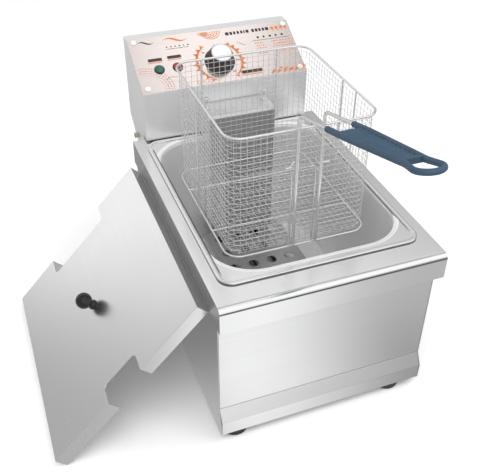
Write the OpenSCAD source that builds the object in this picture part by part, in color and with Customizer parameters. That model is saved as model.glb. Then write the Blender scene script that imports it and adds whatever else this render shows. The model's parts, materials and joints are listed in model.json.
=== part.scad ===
// Countertop deep fryer: steel body with a drawn tank, a control head that tilts
// back with the heating elements, a wire frying basket and a flanged lid that
// leans against the left side.
// Millimetres. +Z is up, the front faces -Y, the feet stand on Z = 0.

/* [Body] */
// Width of the worktop
body_w = 280; // [240:1:340]
// Depth of the worktop, front edge to back edge
body_d = 377; // [320:1:460]
// Height of the worktop above the table
deck_z = 223; // [180:1:300]
// Depth of the folded skirt under the worktop
skirt_h = 34; // [20:1:60]
// Radius of the rolled front edge
bullnose_r = 7.5; // [3:0.5:12]
// Thickness of the worktop sheet
deck_t = 1.5; // [0.8:0.1:3]
// Thickness of the body sheets
sheet_t = 1.2; // [0.8:0.1:2]
// How far the side panels stand in under the skirt
side_inset = 2; // [1.6:0.1:8]
// How far the front panel stands in under the skirt
front_inset = 15; // [6:1:25]
// How far the plinth flares forward of the front panel
flare = 9; // [0:1:14]
// Height of the seam between front panel and plinth
seam_z = 50; // [35:1:80]
// Height where the flare ends and the plinth drops straight
plinth_z = 33; // [20:1:50]
// Height of the lower edge of the body
body_z0 = 12; // [8:1:25]

/* [Feet] */
// Radius of a rubber foot
foot_r = 16; // [8:1:18]
// Places of the left and right feet from the centre
foot_x = [-115, 100];
// Distance of the feet from the centre, front to back
foot_y = 165; // [100:1:166]

/* [Tank] */
// Half the width of the tank opening
tank_hx = 118; // [90:1:125]
// Front of the tank opening
tank_y0 = -137.5; // [-160:0.5:-100]
// Back of the tank opening
tank_y1 = 164.5; // [120:0.5:170]
// Corner radius of the tank
tank_r = 54; // [20:1:60]
// Depth of the tank below the worktop
tank_depth = 182; // [120:1:195]
// Half the width of the tank's flange
flange_hx = 125.5; // [100:0.5:132]
// Front of the tank's flange
flange_y0 = -154.5; // [-170:0.5:-140]
// Back of the tank's flange
flange_y1 = 175; // [165:0.5:178]
// Width of the raised lip round the flange
lip_w = 5.5; // [3:0.5:8]

/* [Control head] */
// Half the width of the head
head_hx = 121.8; // [90:0.1:138]
// Slope of the control panel above the horizontal
slope_a = 29; // [20:1:60]
// Length of the sloped control panel
slope_l = 93.6; // [60:0.1:140]
// Height of the upright face below the panel
face_h = 70.5; // [40:0.5:120]
// Depth of the flat strip behind the panel
top_strip = 18.9; // [8:0.1:40]
// Distance of the tilt pivot behind the worktop's back edge
pivot_back = 41; // [38:0.5:60]
// Depth of the tilt pivot below the worktop
pivot_drop = 14; // [8:0.5:30]
// Radius of the pivot screws
pivot_r = 3; // [2:0.5:6]
// Radial clearance of the pivot screws and of the knob's spindle
run_gap = 0.06; // [0.02:0.01:0.1]

/* [Panel fittings] */
// Radius of the knob's skirt
knob_r = 21.8; // [12:0.1:30]
// Height of the knob above the panel
knob_h = 21; // [12:1:35]
// Distance of the knob from the panel's centre line
knob_u = -1; // [-60:1:60]
// Distance of the knob above the panel's lower edge
knob_v = 37; // [25:1:60]
// Distance of the two lamps from the centre line
lamp_u = [-89, -62.6];
// Distance of the lamps above the panel's lower edge
lamp_v = 37; // [20:1:70]

/* [Elements] */
// Left side of the element tower
tower_x0 = -43; // [-70:1:-20]
// Right side of the element tower
tower_x1 = 55; // [20:1:70]
// Front of the element tower
tower_y0 = 135.5; // [120:0.5:150]
// Height of the element tower above the worktop
tower_h = 47; // [30:1:80]
// Radius of a heating tube
tube_r = 3.2; // [2.5:0.1:6]
// Depth of the guard plate below the worktop
guard_drop = 150; // [80:1:165]
// Radius of the holes in the guard plate
guard_hole_r = 7.5; // [3:0.5:10]

/* [Basket] */
// Width of the basket between rim wires
basket_w = 185.5; // [150:0.5:188]
// Depth of the basket between rim wires
basket_d = 210; // [170:0.5:211]
// Height of the basket
basket_h = 163; // [120:1:170]
// Height of the basket's rim above the worktop while it drains
basket_up = 134; // [60:1:150]
// Sideways place of the basket
basket_x = 2.3; // [-5:0.1:8]
// Front to back place of the basket
basket_y = 26.8; // [20:0.1:27]
// Radius of the rim wire
rim_r = 1.5; // [1.2:0.1:3]
// Corner radius of the basket
basket_cr = 20; // [10:1:30]
// Spacing of the openings in the basket's mesh
mesh_pitch = 20; // [16:1:30]
// Half the distance between the two handle wires
handle_hs = 15; // [13:0.5:20]
// Sideways place of the handle
handle_x = 6; // [-10:1:15]
// Radius of the handle wire
handle_r = 2; // [1.5:0.25:4]
// Rise of the handle above the horizontal
handle_a = 15.1; // [0:0.1:30]

/* [Lid] */
// Length of the lid, left to right when it is closed
lid_l = 262; // [230:1:300]
// Width of the lid, front to back when it is closed
lid_d = 306; // [260:1:340]
// Depth of the lid's flange
lid_h = 17.7; // [10:0.1:30]
// Lean of the lid from the vertical
lid_lean = 43.6; // [30:0.1:60]
// Place of the lid's front edge along the body
lid_y0 = -150.5; // [-180:0.5:-120]
// Radius of the lid's ball knob
ball_r = 10.6; // [8:0.1:20]

/* [Hidden] */
$fn = 48;
hw = body_w / 2;
hd = body_d / 2;
side_x = hw - side_inset;
front_y = -hd + front_inset;
plinth_y = front_y - flare;
back_y = hd - 4.3;
wall_top = deck_z - deck_t - 0.2;
floor_z = deck_z - tank_depth;
head_y0 = 178.2;
head_z0 = deck_z + 2.5;
panel_z = head_z0 + face_h;
panel_y1 = head_y0 + slope_l * cos(slope_a);
head_top = panel_z + slope_l * sin(slope_a);
head_y1 = panel_y1 + top_strip;
head_drop = deck_z - 30;
pivot_y = hd + pivot_back;
pivot_z = deck_z - pivot_drop;
guard_z = deck_z - guard_drop;
tube_z = guard_z - 12;
tube_y = tower_y0 + 14;
tube_x = [-34, -18, -3, 13, 28, 44];
rim_z = deck_z + basket_up;
base_wire = rim_z - basket_h;
bx = basket_w / 2;
by = basket_d / 2;
leg_y = basket_y - by - rim_r - handle_r - 0.05;
bend_r = 9;
bend_z = rim_z + 20 - bend_r;
ring_s = 216.5;
ring_r = 13.5;
neck_s = 197;
neck_x = 10.3;
lid_kx = -137.8;
lid_ky = 155.5;
lid_z = lid_l * cos(lid_lean) + lid_h * sin(lid_lean) + 0.1;
lid_x = -hw - 0.2 - lid_h * cos(lid_lean);
tip_y = leg_y - bend_r + bend_r * sin(handle_a) - (ring_s + ring_r) * cos(handle_a) - 3.1;
shift_x = (lid_l * sin(lid_lean) - lid_x - hw) / 2;
shift_y = -(tip_y + head_y1 + 13) / 2;
steel = [0.80, 0.81, 0.82];
bright = [0.88, 0.89, 0.90];
dark = [0.12, 0.11, 0.11];
blue = [0.16, 0.27, 0.37];

// Everything is drawn round the body's centre, then set over the row's origin.
module at_base() {
  translate([shift_x, shift_y, 0])
    children();
}

// Box with round upright corners.
module rbox(x0, x1, y0, y1, z0, z1, r) {
  translate([x0 + r, y0, z0])
    cube([x1 - x0 - 2 * r, y1 - y0, z1 - z0]);
  translate([x0, y0 + r, z0])
    cube([x1 - x0, y1 - y0 - 2 * r, z1 - z0]);
  for (x = [x0 + r, x1 - r], y = [y0 + r, y1 - r])
    translate([x, y, z0])
      cylinder(r = r, h = z1 - z0);
}

// Plain box between two corners.
module box(x0, x1, y0, y1, z0, z1) {
  translate([x0, y0, z0])
    cube([x1 - x0, y1 - y0, z1 - z0]);
}

// Side view outline (Y, Z) drawn out along X.
module along_x(x0, x1) {
  translate([x0, 0, 0])
    rotate([90, 0, 90])
      linear_extrude(x1 - x0)
        children();
}

// Bar along X, Y or Z.
module bar_x(x0, x1, y, z, r) {
  translate([x0, y, z])
    rotate([0, 90, 0])
      cylinder(r = r, h = x1 - x0);
}
module bar_y(x, y0, y1, z, r) {
  translate([x, y0, z])
    rotate([-90, 0, 0])
      cylinder(r = r, h = y1 - y0);
}
module bar_z(x, y, z0, z1, r) {
  translate([x, y, z0])
    cylinder(r = r, h = z1 - z0);
}

// Flat wire loop with round corners, centred on the basket.
module wire_loop(hx, hy, cr, r, z) {
  translate([basket_x, basket_y, z]) {
    for (s = [-1, 1]) {
      bar_x(-hx + cr, hx - cr, s * hy, 0, r);
      bar_y(s * hx, -hy + cr, hy - cr, 0, r);
    }
    for (q = [0:3])
      translate([(q == 0 || q == 3 ? 1 : -1) * (hx - cr), (q < 2 ? 1 : -1) * (hy - cr), 0])
        rotate([0, 0, 90 * q])
          rotate_extrude(angle = 90)
            translate([cr, 0])
              circle(r = r);
  }
}

// Frame of the sloped control panel: X along it, Y up the slope, Z outward.
module on_slope(u = 0, v = 0) {
  translate([u, head_y0, panel_z])
    rotate([slope_a, 0, 0])
      translate([0, v, 0])
        children();
}

// Frame of the leaning lid: X from its upper edge, Y along the body, Z outward.
module on_lid() {
  translate([lid_x, lid_y0, lid_z])
    rotate([0, lid_lean - 90, 0])
      children();
}

// Frame at the end of the handle's bend: -Y runs out along the handle.
module on_handle() {
  translate([
    handle_x,
    leg_y - bend_r + bend_r * sin(handle_a),
    bend_z + bend_r * cos(handle_a)
  ])
    rotate([-handle_a, 0, 0])
      children();
}

// Deck sheet with a rolled front edge, folded skirts and the tank cut-out.
module worktop() at_base() color(bright) difference() {
  union() {
    box(-hw, hw, -hd + bullnose_r, hd, deck_z - skirt_h, deck_z);
    box(-hw, hw, -hd, hd, deck_z - skirt_h, deck_z - bullnose_r);
    bar_x(-hw, hw, -hd + bullnose_r, deck_z - bullnose_r, bullnose_r);
  }
  box(-hw + deck_t, hw - deck_t, -hd + bullnose_r, hd - deck_t, deck_z - skirt_h - 1, deck_z - deck_t);
  box(-hw + deck_t, hw - deck_t, -hd + deck_t, 0, deck_z - skirt_h - 1, deck_z - bullnose_r);
  bar_x(-hw + deck_t, hw - deck_t, -hd + bullnose_r, deck_z - bullnose_r, bullnose_r - deck_t);
  rbox(-tank_hx - 3.5, tank_hx + 3.5, tank_y0 - 3.5, tank_y1 + 3.5, deck_z - 5, deck_z + 5, tank_r + 3.5);
  for (x = [-108, -98, 98, 108])
    bar_y(x, hd - 5, hd + 5, pivot_z - 8, 2.1);
}

// Drawn basin hung in the cut-out by a flange with a raised lip.
module tank() at_base() color(bright) difference() {
  union() {
    rbox(-flange_hx, flange_hx, flange_y0, flange_y1, deck_z + 0.3, deck_z + 3, 18);
    rbox(
      -tank_hx - sheet_t, tank_hx + sheet_t, tank_y0 - sheet_t, tank_y1 + sheet_t,
      floor_z - sheet_t, deck_z + 1, tank_r + sheet_t
    );
  }
  rbox(
    -flange_hx + lip_w, flange_hx - lip_w, flange_y0 + lip_w, flange_y1 - lip_w,
    deck_z + 1.5, deck_z + 5, 18 - lip_w
  );
  rbox(-tank_hx, tank_hx, tank_y0, tank_y1, floor_z, deck_z + 5, tank_r);
}

// Two side panels and the back panel, folded from one sheet.
module body_wrap() at_base() color(steel) {
  difference() {
    union() {
      for (x = [-side_x, side_x - sheet_t])
        along_x(x, x + sheet_t)
          polygon([
            [back_y, body_z0], [back_y, wall_top], [front_y, wall_top], [front_y, seam_z],
            [plinth_y, plinth_z], [plinth_y, body_z0]
          ]);
      box(-side_x, side_x, back_y - sheet_t, back_y, body_z0, wall_top);
    }
    for (x = [-108, -98, 98, 108])
      bar_y(x, back_y - 5, back_y + 5, pivot_z - 8, 2.1);
  }
}

// Flat front panel between the sides.
module front_panel() at_base() color(bright)
  box(-side_x + sheet_t + 0.1, side_x - sheet_t - 0.1, front_y, front_y + sheet_t, seam_z + 0.6, wall_top);

// Folded strip that flares out under the front panel.
module front_plinth() at_base() color(bright)
  along_x(-side_x + sheet_t + 0.1, side_x - sheet_t - 0.1)
    polygon([
      [front_y, seam_z], [plinth_y, plinth_z], [plinth_y, body_z0], [plinth_y + sheet_t, body_z0],
      [plinth_y + sheet_t, plinth_z - 0.3], [front_y + sheet_t, seam_z - 0.3], [front_y + sheet_t, seam_z]
    ]);

// Bottom sheet that closes the body and carries the feet.
module base_plate() at_base() color(steel) difference() {
  box(
    -side_x + sheet_t + 0.1, side_x - sheet_t - 0.1, plinth_y + sheet_t + 0.1, back_y - sheet_t - 0.1,
    body_z0 + 1.3, body_z0 + 2.5
  );
  for (x = foot_x, y = [-foot_y, foot_y])
    bar_z(x, y, body_z0 - 5, body_z0 + 9, 2.7);
}

// Four round rubber feet, each recessed for its screw.
module feet() at_base() color(dark)
  for (x = foot_x, y = [-foot_y, foot_y])
    translate([x, y, 0])
      difference() {
        union() {
          translate([0, 0, 1.5])
            cylinder(r = foot_r, h = body_z0 - 0.3);
          cylinder(r1 = foot_r - 1.5, r2 = foot_r, h = 1.5);
        }
        translate([0, 0, -1])
          cylinder(r = 5.5, h = 6);
        cylinder(r = 2.7, h = 30);
      }

// Pan head screws that hold the feet.
module foot_screws() at_base() color(steel)
  for (x = foot_x, y = [-foot_y, foot_y])
    translate([x, y, 0]) {
      translate([0, 0, 2.4])
        cylinder(r = 4.5, h = 2.6);
      translate([0, 0, 5])
        cylinder(r = 2.5, h = 15);
    }

// Pair of brackets on the back skirt; each arm carries a tilt pivot.
module hinge_brackets() at_base() color(steel)
  for (s = [-1, 1])
    mirror([s < 0 ? 1 : 0, 0, 0])
      difference() {
        union() {
          box(92, 116.5, hd + 0.05, hd + 2.05, head_drop + 1, deck_z - 4);
          box(114, 116.5, hd + 0.05, pivot_y, pivot_z - 10, pivot_z + 10);
          bar_x(114, 116.5, pivot_y, pivot_z, 10);
        }
        bar_x(110, 120, pivot_y, pivot_z, pivot_r + 0.02);
        for (x = [98, 108])
          bar_y(x, hd - 5, hd + 5, pivot_z - 8, 2.1);
      }

// Countersunk screws that hold the brackets to the back of the body.
module bracket_screws() at_base() color(steel)
  for (x = [-108, -98, 98, 108])
    bar_y(x, back_y - 9, hd + 2, pivot_z - 8, 2);

// Pivot screws with knurled thumb heads outside the head's sides.
module pivot_screws() at_base() color([0.78, 0.70, 0.50])
  for (s = [-1, 1])
    mirror([s < 0 ? 1 : 0, 0, 0]) {
      bar_x(112, head_hx + 0.3, pivot_y, pivot_z, pivot_r);
      bar_x(head_hx + 0.3, head_hx + 7, pivot_y, pivot_z, pivot_r + 1.1);
    }

// Side view of the control head.
module head_outline() {
  polygon([
    [head_y0, head_z0], [head_y0, panel_z], [panel_y1, head_top], [head_y1, head_top],
    [head_y1, deck_z - 2], [head_y1 - 37.5, head_drop], [pivot_y - 32, head_drop], [pivot_y - 32, head_z0]
  ]);
}

// Region of the head's walls that belongs to the back cover.
module rear_region() {
  polygon([
    [pivot_y - 29.9, head_drop - 5], [head_y1 + 5, head_drop - 5], [head_y1 + 5, head_top - 1.4],
    [head_y1 - 9, head_top - 1.4], [head_y1 - 9, deck_z + 7], [head_y1 - 44, head_drop + 7],
    [pivot_y - 29.9, head_drop + 7]
  ]);
}

// Slots that let the bracket arms pass while the head tilts.
module arm_slots() {
  for (x = [-118.7, 112.3])
    box(x, x + 6.4, pivot_y - 40, head_y1 - 28, head_drop - 5, deck_z + 1);
}

// Folded steel shell of the head: sides, upright face, sloped face, top strip.
module head_shell() at_base() color(steel) difference() {
  along_x(-head_hx, head_hx)
    head_outline();
  along_x(-head_hx + sheet_t, head_hx - sheet_t)
    offset(delta = -sheet_t)
      head_outline();
  along_x(-head_hx + sheet_t, head_hx - sheet_t)
    rear_region();
  arm_slots();
  bar_x(-head_hx - 5, head_hx + 5, pivot_y, pivot_z, pivot_r + run_gap);
  for (x = tube_x)
    bar_y(x, head_y0 - 5, head_y0 + 5, deck_z + 27, 5);
  bar_y(5, head_y0 - 5, head_y0 + 5, deck_z + 34, 2);
  on_slope(knob_u, knob_v)
    translate([0, 0, -5])
      cylinder(r = 5.5, h = 10);
  for (u = lamp_u)
    on_slope(u, lamp_v)
      translate([0, 0, -5])
        cylinder(r = 5.4, h = 10);
  panel_screw_places()
    translate([0, 0, -5])
      cylinder(r = 2.2, h = 10);
}

// Rear sheet of the head with its chamfer and bottom.
module head_back_cover() at_base() color(steel) difference() {
  along_x(-head_hx + sheet_t + 0.1, head_hx - sheet_t - 0.1)
    intersection() {
      difference() {
        head_outline();
        offset(delta = -sheet_t)
          head_outline();
      }
      offset(delta = -0.1)
        rear_region();
    }
  arm_slots();
  bar_y(70, head_y1 - 5, head_y1 + 5, deck_z + 20, 6.2);
}

// Black strip that closes the gap between the head and the worktop.
module head_seal() at_base() color(dark)
  box(-116, 116, head_y0 + 0.6, pivot_y - 33, deck_z + 0.2, head_z0 - 0.1);

// Places of the four panel screws.
module panel_screw_places() {
  for (u = [-113, 113], v = [7.5, slope_l - 6.5])
    on_slope(u, v)
      children();
}

// Printed plate that covers the sloped face.
module control_plate() at_base() color([0.93, 0.93, 0.92]) on_slope() difference() {
  box(-head_hx + 0.4, head_hx - 0.4, 0.6, slope_l - 0.4, 0.05, 1.05);
  translate([knob_u, knob_v, -5])
    cylinder(r = 5.5, h = 10);
  for (u = lamp_u)
    translate([u, lamp_v, -5])
      cylinder(r = 5.4, h = 10);
  for (u = [-113, 113], v = [7.5, slope_l - 6.5])
    translate([u, v, -5])
      cylinder(r = 2.2, h = 10);
}

// Domed white-capped screws at the plate's corners.
module panel_screws() at_base() color([0.95, 0.95, 0.95])
  panel_screw_places() {
    translate([0, 0, -7])
      cylinder(r = 2, h = 9);
    translate([0, 0, 1.1])
      cylinder(r1 = 4.2, r2 = 2.6, h = 2.4);
  }

// Dark bezels of the two lamps.
module lamp_bezels() at_base() color(dark)
  for (u = lamp_u)
    on_slope(u, lamp_v)
      difference() {
        union() {
          translate([0, 0, -16])
            cylinder(r = 5.2, h = 18);
          translate([0, 0, 1.1])
            cylinder(r = 7.4, h = 1.6);
        }
        translate([0, 0, -17])
          cylinder(r = 4.6, h = 30);
      }

// One lamp lens with its stem.
module lens(u) {
  on_slope(u, lamp_v) {
    translate([0, 0, -8])
      cylinder(r = 4.5, h = 10.8);
    translate([0, 0, 2.75])
      cylinder(r1 = 6.4, r2 = 4.6, h = 2);
  }
}

// Green power lamp.
module lamp_green() at_base() color([0.05, 0.35, 0.25])
  lens(lamp_u[0]);

// Red heating lamp.
module lamp_red() at_base() color([0.55, 0.10, 0.08])
  lens(lamp_u[1]);

// Thermostat behind the panel, with the bush the knob's spindle turns in.
module thermostat() at_base() color([0.30, 0.30, 0.32]) on_slope(knob_u, knob_v) difference() {
  union() {
    translate([-18, -15, -27])
      cube([36, 30, 24]);
    translate([0, 0, -4])
      cylinder(r = 5, h = 5);
  }
  translate([0, 0, -14])
    cylinder(r = pivot_r + run_gap, h = 20);
}

// Ceramic terminal block on the inside of the back cover.
module terminal_block() at_base() color([0.90, 0.88, 0.82])
  box(-60, 0, head_y1 - 20, head_y1 - sheet_t - 0.1, deck_z + 10, deck_z + 30);

// Gland in the back cover where the supply cord enters.
module cable_gland() at_base() color(dark) difference() {
  union() {
    bar_y(70, head_y1 - 10, head_y1 + 2, deck_z + 20, 6);
    bar_y(70, head_y1 + 0.1, head_y1 + 13, deck_z + 20, 10);
  }
  bar_y(70, head_y1 - 20, head_y1 + 20, deck_z + 20, 4);
}

// Sheet cover over the element legs, from the head down into the tank.
module tower() at_base() color(bright) difference() {
  union() {
    box(tower_x0, tower_x1, tower_y0, tank_y1 - 3.5, guard_z + 0.1, deck_z + 10);
    box(tower_x0, tower_x1, tower_y0, head_y0 - 0.1, deck_z + 3.6, deck_z + tower_h - 6);
    box(tower_x0, tower_x1, tower_y0 + 6, head_y0 - 0.1, deck_z + 3.6, deck_z + tower_h);
    bar_x(tower_x0, tower_x1, tower_y0 + 6, deck_z + tower_h - 6, 6);
    box(tower_x0, tower_x1, head_y0 - 1.3, head_y0 - 0.1, deck_z + tower_h - 1, deck_z + tower_h + 2);
  }
  box(tower_x0 + 1, tower_x1 - 1, tower_y0 + 1, tank_y1, guard_z - 5, deck_z + tower_h - 6);
  box(tower_x0 + 1, tower_x1 - 1, tower_y0 + 6, head_y0 + 5, deck_z + 3, deck_z + tower_h - 1);
  bar_x(tower_x0 + 1, tower_x1 - 1, tower_y0 + 6, deck_z + tower_h - 6, 5);
}

// Two short posts on the tower that the basket hangs from.
module hang_posts() at_base() color(bright)
  for (x = [tower_x0 + 4.8, tower_x1 - 8])
    bar_z(x, head_y0 - 16, deck_z + tower_h + 0.05, deck_z + tower_h + 17.5, 4.6);

// Three hairpin heating tubes: through the head's face, down, then forward.
module heating_element() at_base() color([0.45, 0.44, 0.44])
  for (k = [0, 2, 4])
    union() {
      for (x = [tube_x[k], tube_x[k + 1]]) {
        bar_y(x, tube_y + 8, head_y0 + 14, deck_z + 27, tube_r);
        bar_z(x, tube_y, tube_z + 8, deck_z + 19, tube_r);
        bar_y(x, -86, tube_y - 8, tube_z, tube_r);
        translate([x, tube_y + 8, deck_z + 19])
          rotate([90, 0, 90])
            rotate_extrude(angle = 90, start = 90)
              translate([8, 0])
                circle(r = tube_r);
        translate([x, tube_y - 8, tube_z + 8])
          rotate([90, 0, 90])
            rotate_extrude(angle = 90, start = 270)
              translate([8, 0])
                circle(r = tube_r);
      }
      translate([(tube_x[k] + tube_x[k + 1]) / 2, -86, tube_z])
        rotate_extrude(angle = 180, start = 180)
          translate([(tube_x[k + 1] - tube_x[k]) / 2, 0])
            circle(r = tube_r);
    }

// Perforated plate over the elements, flanged down at the sides and front.
module guard_plate() at_base() color(bright) {
  translate([0, 0, guard_z - 1])
    linear_extrude(1)
      difference() {
        translate([-57, -101])
          square([124, tower_y0 + 100.8]);
        for (x = [-37, -9, 19, 47], y = [-59.5:35:116])
          translate([x, y])
            circle(r = guard_hole_r);
      }
  box(-57, -56, -101, tower_y0 - 0.2, guard_z - 16, guard_z - 1);
  box(66, 67, -101, tower_y0 - 0.2, guard_z - 16, guard_z - 1);
  box(-57, 67, -101, -100, guard_z - 16, guard_z - 1);
}

// Thermostat bulb under the guard plate and its capillary up to the head.
module sensor_bulb() at_base() color([0.72, 0.45, 0.30]) {
  bar_y(5, -20, 80, guard_z - 4.5, 2.6);
  bar_y(5, 79, tube_y, guard_z - 4.5, 1);
  bar_z(5, tube_y, guard_z - 5.5, deck_z + 35, 1);
  bar_y(5, tube_y, head_y0 + 30, deck_z + 34, 1);
}

// Control knob with a wide skirt and the spindle it turns on.
module knob() at_base() color(dark) on_slope(knob_u, knob_v) {
  translate([0, 0, 1.6])
    cylinder(r = knob_r, h = 2.4);
  translate([0, 0, 4])
    cylinder(r1 = knob_r - 1.5, r2 = 15.8, h = knob_h - 5.5);
  translate([0, 0, -12])
    cylinder(r = pivot_r, h = 14);
}

// Bright disc on the knob's face.
module knob_cap() at_base() color([0.85, 0.85, 0.87]) on_slope(knob_u, knob_v)
  translate([0, 0, knob_h - 1.45])
    cylinder(r = 14.2, h = 1.5);

// Heavy wire round the basket's top.
module basket_rim() at_base() color(bright)
  wire_loop(bx, by, basket_cr, rim_r, rim_z);

// Bottom wire loop with two cross wires.
module basket_base_frame() at_base() color(bright) {
  wire_loop(bx, by, basket_cr, 1.3, base_wire + 1.8);
  for (y = [-16.6, 81.4])
    bar_x(basket_x - bx, basket_x + bx, y, base_wire + 1.8, 1.2);
}

// Upright wires up the sides and the back, and short ones beside the handle wires.
module basket_ribs() at_base() color(bright) {
  for (x = [-53, 53])
    bar_z(x, basket_y + by, base_wire + 3.4, rim_z - rim_r - 0.1, 1.1);
  for (p = [[-1, 37], [1, 19.5], [1, -15.5]])
    bar_z(basket_x + p[0] * bx, p[1], base_wire + 3.4, rim_z - rim_r - 0.1, 1.1);
  for (x = [-handle_hs, handle_hs])
    bar_z(handle_x + x - 4, basket_y - by, base_wire + 3.4, rim_z - 56, 1.1);
}

// One flat mesh wall, drawn in the XY plane.
module mesh_panel(w, h) {
  nx = floor((w - 4) / mesh_pitch);
  ny = floor((h - 4) / mesh_pitch);
  linear_extrude(0.9)
    difference() {
      square([w, h]);
      for (i = [0:nx - 1], j = [0:ny - 1])
        translate([(w - nx * mesh_pitch) / 2 + i * mesh_pitch + 1, (h - ny * mesh_pitch) / 2 + j * mesh_pitch + 1])
          square(mesh_pitch - 2);
    }
}

// Mesh walls and floor inside the wire frame.
module basket_mesh() at_base() color(steel) translate([basket_x, basket_y, base_wire]) {
  g = 2.2;
  h = basket_h - 6;
  for (s = [0, 1])
    rotate([0, 0, 180 * s])
      translate([-bx + basket_cr, by - g, 3.6])
        rotate([90, 0, 0])
          mesh_panel(2 * (bx - basket_cr), h);
  for (s = [0, 1])
    rotate([0, 0, 180 * s])
      translate([bx - g - 0.9, -by + basket_cr, 3.6])
        rotate([90, 0, 90])
          mesh_panel(2 * (by - basket_cr), h);
  for (q = [0:3])
    translate([(q == 0 || q == 3 ? 1 : -1) * (bx - basket_cr), (q < 2 ? 1 : -1) * (by - basket_cr), 3.6])
      rotate([0, 0, 90 * q])
        rotate_extrude(angle = 90)
          translate([basket_cr - g - 0.9, 0])
            square([0.9, h]);
  translate([-bx + 3.2, -by + 3.2, 3.3]) {
    nx = floor((basket_w - 46) / mesh_pitch);
    ny = floor((basket_d - 46) / mesh_pitch);
    linear_extrude(0.28)
      difference() {
        translate([basket_cr, basket_cr])
          offset(r = basket_cr - 0.1)
            square([basket_w - 6.4 - 2 * basket_cr, basket_d - 6.4 - 2 * basket_cr]);
        for (i = [0:nx - 1], j = [0:ny - 1])
          translate([22 + i * mesh_pitch, 22 + j * mesh_pitch])
            square(mesh_pitch - 2);
      }
  }
}

// Two wires up the front wall that bend forward into the grip.
module handle_wire() at_base() color(bright)
  for (x = [-handle_hs, handle_hs])
    union() {
      bar_z(handle_x + x, leg_y, base_wire + 3.4, bend_z, handle_r);
      translate([handle_x + x, leg_y - bend_r, bend_z])
        rotate([90, 0, 90])
          rotate_extrude(angle = 90 - handle_a)
            translate([bend_r, 0])
              circle(r = handle_r);
      on_handle()
        bar_y(x, -90, -0.05, 0, handle_r);
    }

// Short hooked clips that lock the handle wires to the front wall.
module handle_clips() at_base() color(bright) {
  y = basket_y - by - 0.4;
  bar_x(handle_x - handle_hs - 12.8, handle_x - handle_hs - 2.8, y, rim_z - 48, 1.1);
  translate([handle_x - handle_hs - 8.5, y, rim_z - 48])
    rotate([0, 42, 0])
      cylinder(r = 0.9, h = 9.5);
  bar_x(handle_x + handle_hs - 3.5, handle_x + handle_hs + 12.8, y, rim_z - 49, 1.1);
  translate([handle_x + handle_hs - 2.4, y, rim_z - 49])
    rotate([0, -28, 0])
      cylinder(r = 0.9, h = 9);
}

// Moulded grip: two sleeves that lean together, a ribbed web and an open end ring.
module grip() at_base() color(blue) on_handle() difference() {
  union() {
    for (s = [0, 1])
      mirror([s, 0, 0]) {
        bar_y(handle_hs, -95.4, -59, 0, 3.45);
        translate([handle_hs, -95, 0])
          rotate([0, 0, -atan((handle_hs - neck_x) / (neck_s - 95))])
            bar_y(0, -norm([handle_hs - neck_x, neck_s - 95]), 0, 0, 3.4);
        translate([neck_x, -neck_s, 0])
          sphere(r = 3.7);
        translate([neck_x, -neck_s, 0])
          rotate([0, 0, atan((ring_r - neck_x) / (ring_s - neck_s))])
            bar_y(0, -norm([ring_r - neck_x, ring_s - neck_s]), 0, 0, 3.1);
        translate([ring_r, -ring_s, 0])
          sphere(r = 3.35);
      }
    translate([0, -ring_s, 0])
      rotate_extrude(angle = 180, start = 180)
        translate([ring_r, 0])
          circle(r = 3.1);
    translate([0, 0, -1.2])
      linear_extrude(2.4)
        polygon([
          [-handle_hs, -77], [-handle_hs, -95], [-neck_x, -neck_s], [neck_x, -neck_s],
          [handle_hs, -95], [handle_hs, -77]
        ]);
    for (y = [-88:-8:-186])
      box(-neck_x - 0.5, neck_x + 0.5, y - 1.4, y + 1.4, -2.4, 2.4);
    box(-neck_x, neck_x, -neck_s, -neck_s + 6, -2.8, 2.8);
  }
  for (x = [-handle_hs, handle_hs])
    bar_y(x, -92, 0, 0, handle_r + 0.05);
}

// Folded lid tray, notched at the back for the tower and in front for the handle.
module lid_panel() at_base() color(bright) on_lid() difference() {
  box(-lid_l, 0, 0, lid_d, -lid_h, 0);
  box(-lid_l + sheet_t, -sheet_t, sheet_t, lid_d - sheet_t, -lid_h - 1, -sheet_t);
  rbox(-184, -76, lid_d - 30, lid_d + 30, -lid_h - 1, 5, 6);
  rbox(-159, -101, -30, 27, -lid_h - 1, 5, 7);
  translate([lid_kx, lid_ky, -5])
    cylinder(r = 2.6, h = 10);
}

// Black ball knob on a short neck.
module lid_knob() at_base() color(dark) on_lid() translate([lid_kx, lid_ky, 0]) difference() {
  union() {
    translate([0, 0, 0.05])
      cylinder(r = 6.6, h = 1.6);
    translate([0, 0, 1])
      cylinder(r = 5.6, h = 8);
    translate([0, 0, 14])
      sphere(r = ball_r);
  }
  translate([0, 0, -1])
    cylinder(r = 2.45, h = 13);
}

// Screw that holds the ball knob from inside the lid.
module lid_knob_screw() at_base() color(steel) on_lid() translate([lid_kx, lid_ky, 0]) {
  translate([0, 0, -sheet_t - 2.6])
    cylinder(r = 5, h = 2.5);
  translate([0, 0, -sheet_t - 0.2])
    cylinder(r = 2.4, h = 12);
}

worktop();
tank();
body_wrap();
front_panel();
front_plinth();
base_plate();
feet();
foot_screws();
hinge_brackets();
bracket_screws();
pivot_screws();
head_shell();
head_back_cover();
head_seal();
control_plate();
panel_screws();
lamp_bezels();
lamp_green();
lamp_red();
thermostat();
terminal_block();
cable_gland();
tower();
hang_posts();
heating_element();
guard_plate();
sensor_bulb();
knob();
knob_cap();
basket_rim();
basket_base_frame();
basket_ribs();
basket_mesh();
handle_wire();
handle_clips();
grip();
lid_panel();
lid_knob();
lid_knob_screw();
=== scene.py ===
import json
import math
import random

import bmesh
import bpy
import numpy as np
from mathutils import Matrix, Vector

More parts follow.
